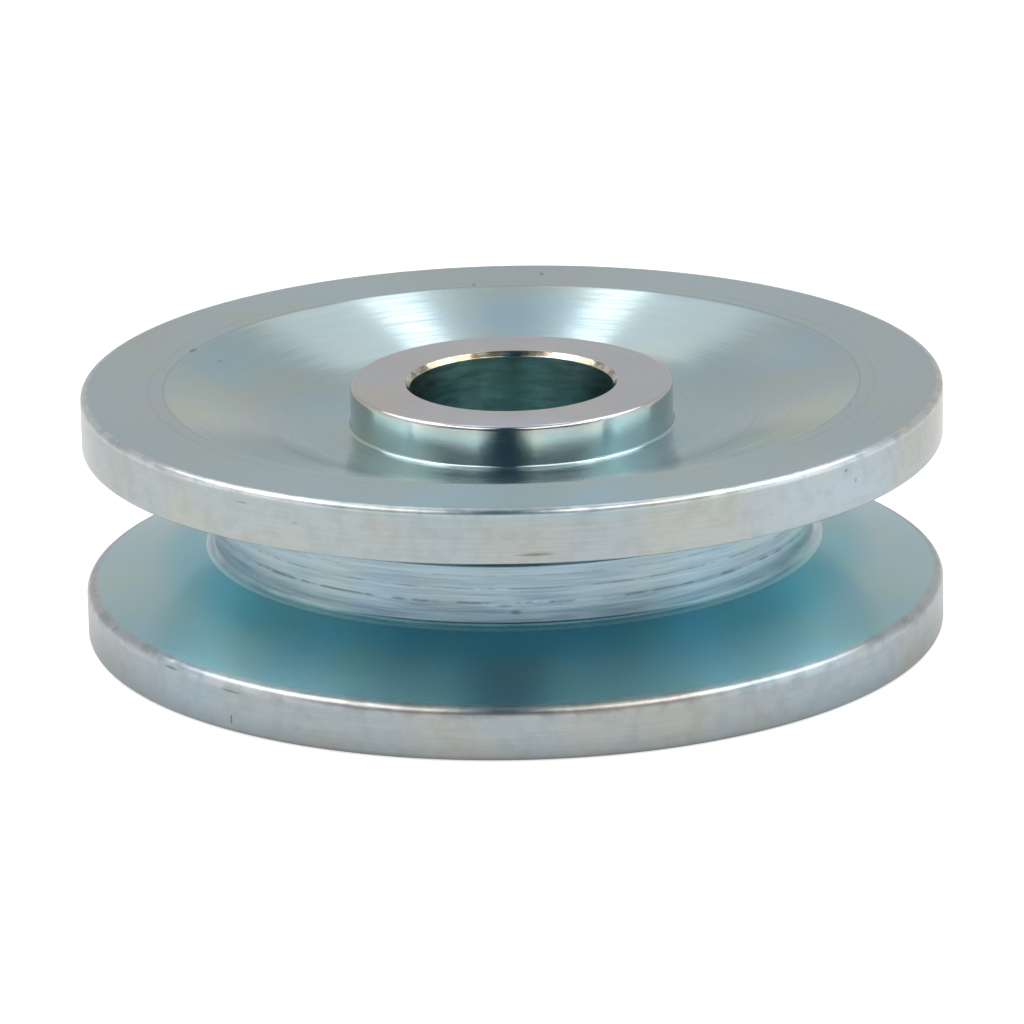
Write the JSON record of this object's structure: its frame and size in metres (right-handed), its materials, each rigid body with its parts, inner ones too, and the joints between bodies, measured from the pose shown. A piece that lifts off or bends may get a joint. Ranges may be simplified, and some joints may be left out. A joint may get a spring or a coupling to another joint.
{
  "type": "alternator pulley",
  "caption": "Turned steel V-belt pulley for an alternator shaft, with a deep belt groove, a plain bore and a dished front face around a flush hub.",
  "frame": {"origin": "centre of the bore on the back face, which the pulley rests on", "axes": "+Z along the bore, from the back face to the hub face; X and Y are free, because the part is turned"},
  "size_m": [0.072, 0.072, 0.021],
  "materials": {
    "zinc_plated_steel": "turned steel, blue-clear zinc plate, satin"
  },
  "bodies": {
    "root": {"pulley": "zinc_plated_steel"}
  },
  "joints": []
}
